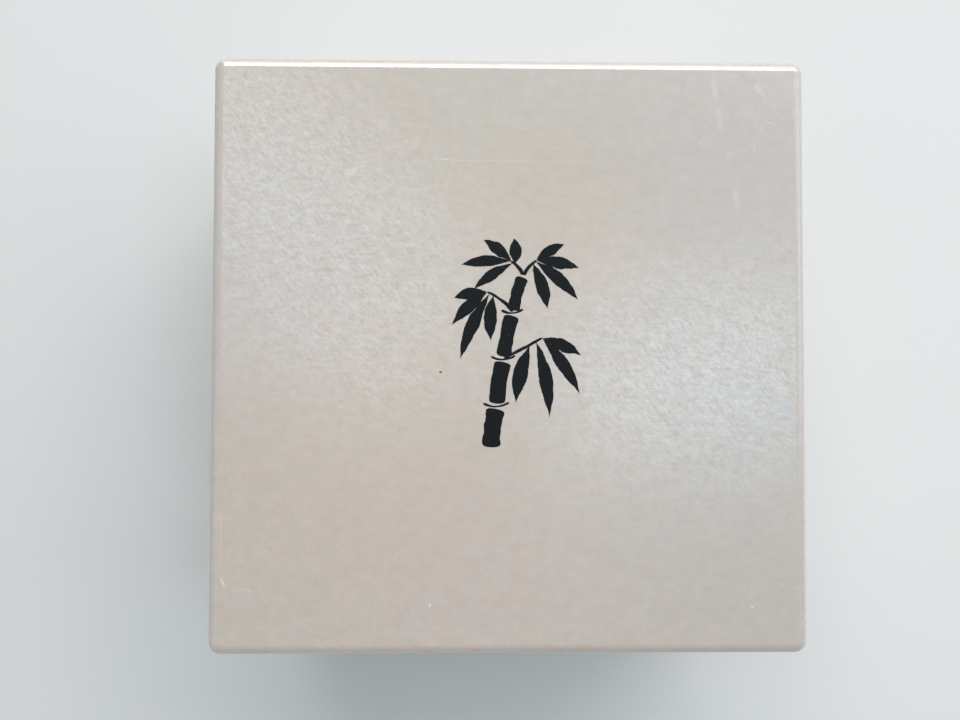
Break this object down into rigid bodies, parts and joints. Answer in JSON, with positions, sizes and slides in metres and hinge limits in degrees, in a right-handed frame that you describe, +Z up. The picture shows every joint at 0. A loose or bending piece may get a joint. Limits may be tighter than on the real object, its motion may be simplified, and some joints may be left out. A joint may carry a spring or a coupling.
{
  "type": "shogi piece box",
  "caption": "Square pale wooden box with rounded edges, whose flush lid lifts straight off a raised inner lining, for storing a set of shogi pieces.",
  "frame": {"origin": "middle of the box's underside, on the surface it stands on", "axes": "+Z up, the way the lid lifts; the front wall faces -Y and the right wall +X"},
  "size_m": [0.12, 0.12, 0.075],
  "materials": {
    "top_wood": "satin",
    "wall_wood": "satin",
    "lining_wood": "matte",
    "floor_wood": "matte",
    "tongue_wood": "matte",
    "ink": "satin"
  },
  "bodies": {
    "base": {"floor_panel": "floor_wood", "base_front_wall": "wall_wood", "base_back_wall": "wall_wood", "base_left_wall": "wall_wood", "base_right_wall": "wall_wood", "lining_front": "lining_wood", "lining_back": "lining_wood", "lining_left": "lining_wood", "lining_right": "lining_wood", "base_front_left_tongue": "tongue_wood", "base_front_right_tongue": "tongue_wood", "base_back_left_tongue": "tongue_wood", "base_back_right_tongue": "tongue_wood"},
    "lid": {"lid_top_panel": "top_wood", "lid_front_wall": "wall_wood", "lid_back_wall": "wall_wood", "lid_left_wall": "wall_wood", "lid_right_wall": "wall_wood", "lid_front_left_tongue": "tongue_wood", "lid_front_right_tongue": "tongue_wood", "lid_back_left_tongue": "tongue_wood", "lid_back_right_tongue": "tongue_wood"}
  },
  "joints": [
    {"name": "lid_lift", "type": "slide", "parent": "base", "child": "lid", "axis": [0, 0, 1], "range_m": [0, 0.075]}
  ]
}
